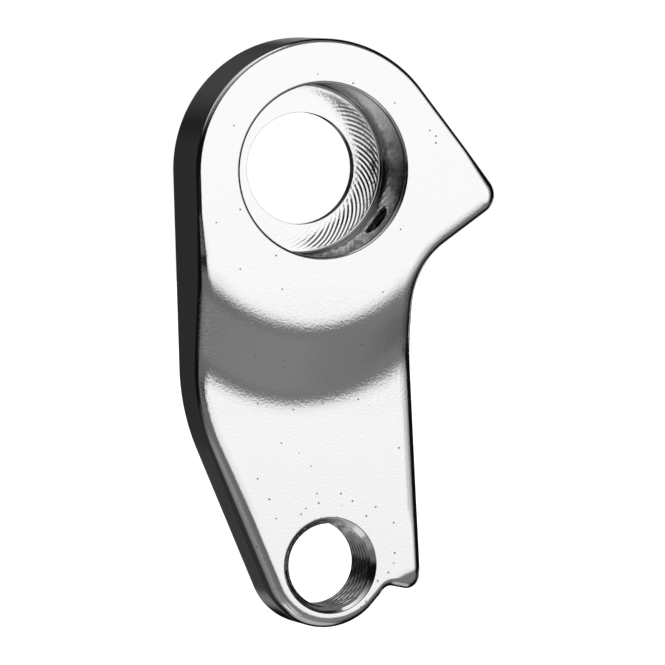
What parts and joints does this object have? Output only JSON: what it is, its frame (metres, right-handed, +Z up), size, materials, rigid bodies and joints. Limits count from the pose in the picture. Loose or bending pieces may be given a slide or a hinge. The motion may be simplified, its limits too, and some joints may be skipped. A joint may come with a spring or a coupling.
{
  "type": "bicycle derailleur hanger",
  "caption": "Thru-axle derailleur hanger: counterbored round boss with a pointed ear, a curved ramp down to a thinner arm, and a threaded derailleur hole beside a stop tab.",
  "frame": {"origin": "on the axis of the axle bore, in the flat back face", "axes": "+Y along the axle bore out of the back face, the milled front faces -Y; +X towards the pointed ear; +Z up, away from the derailleur hole"},
  "size_m": [0.0336, 0.0096, 0.0634],
  "materials": {
    "polished_aluminium": "polished"
  },
  "bodies": {
    "root": {"hanger": "polished_aluminium"}
  },
  "joints": []
}
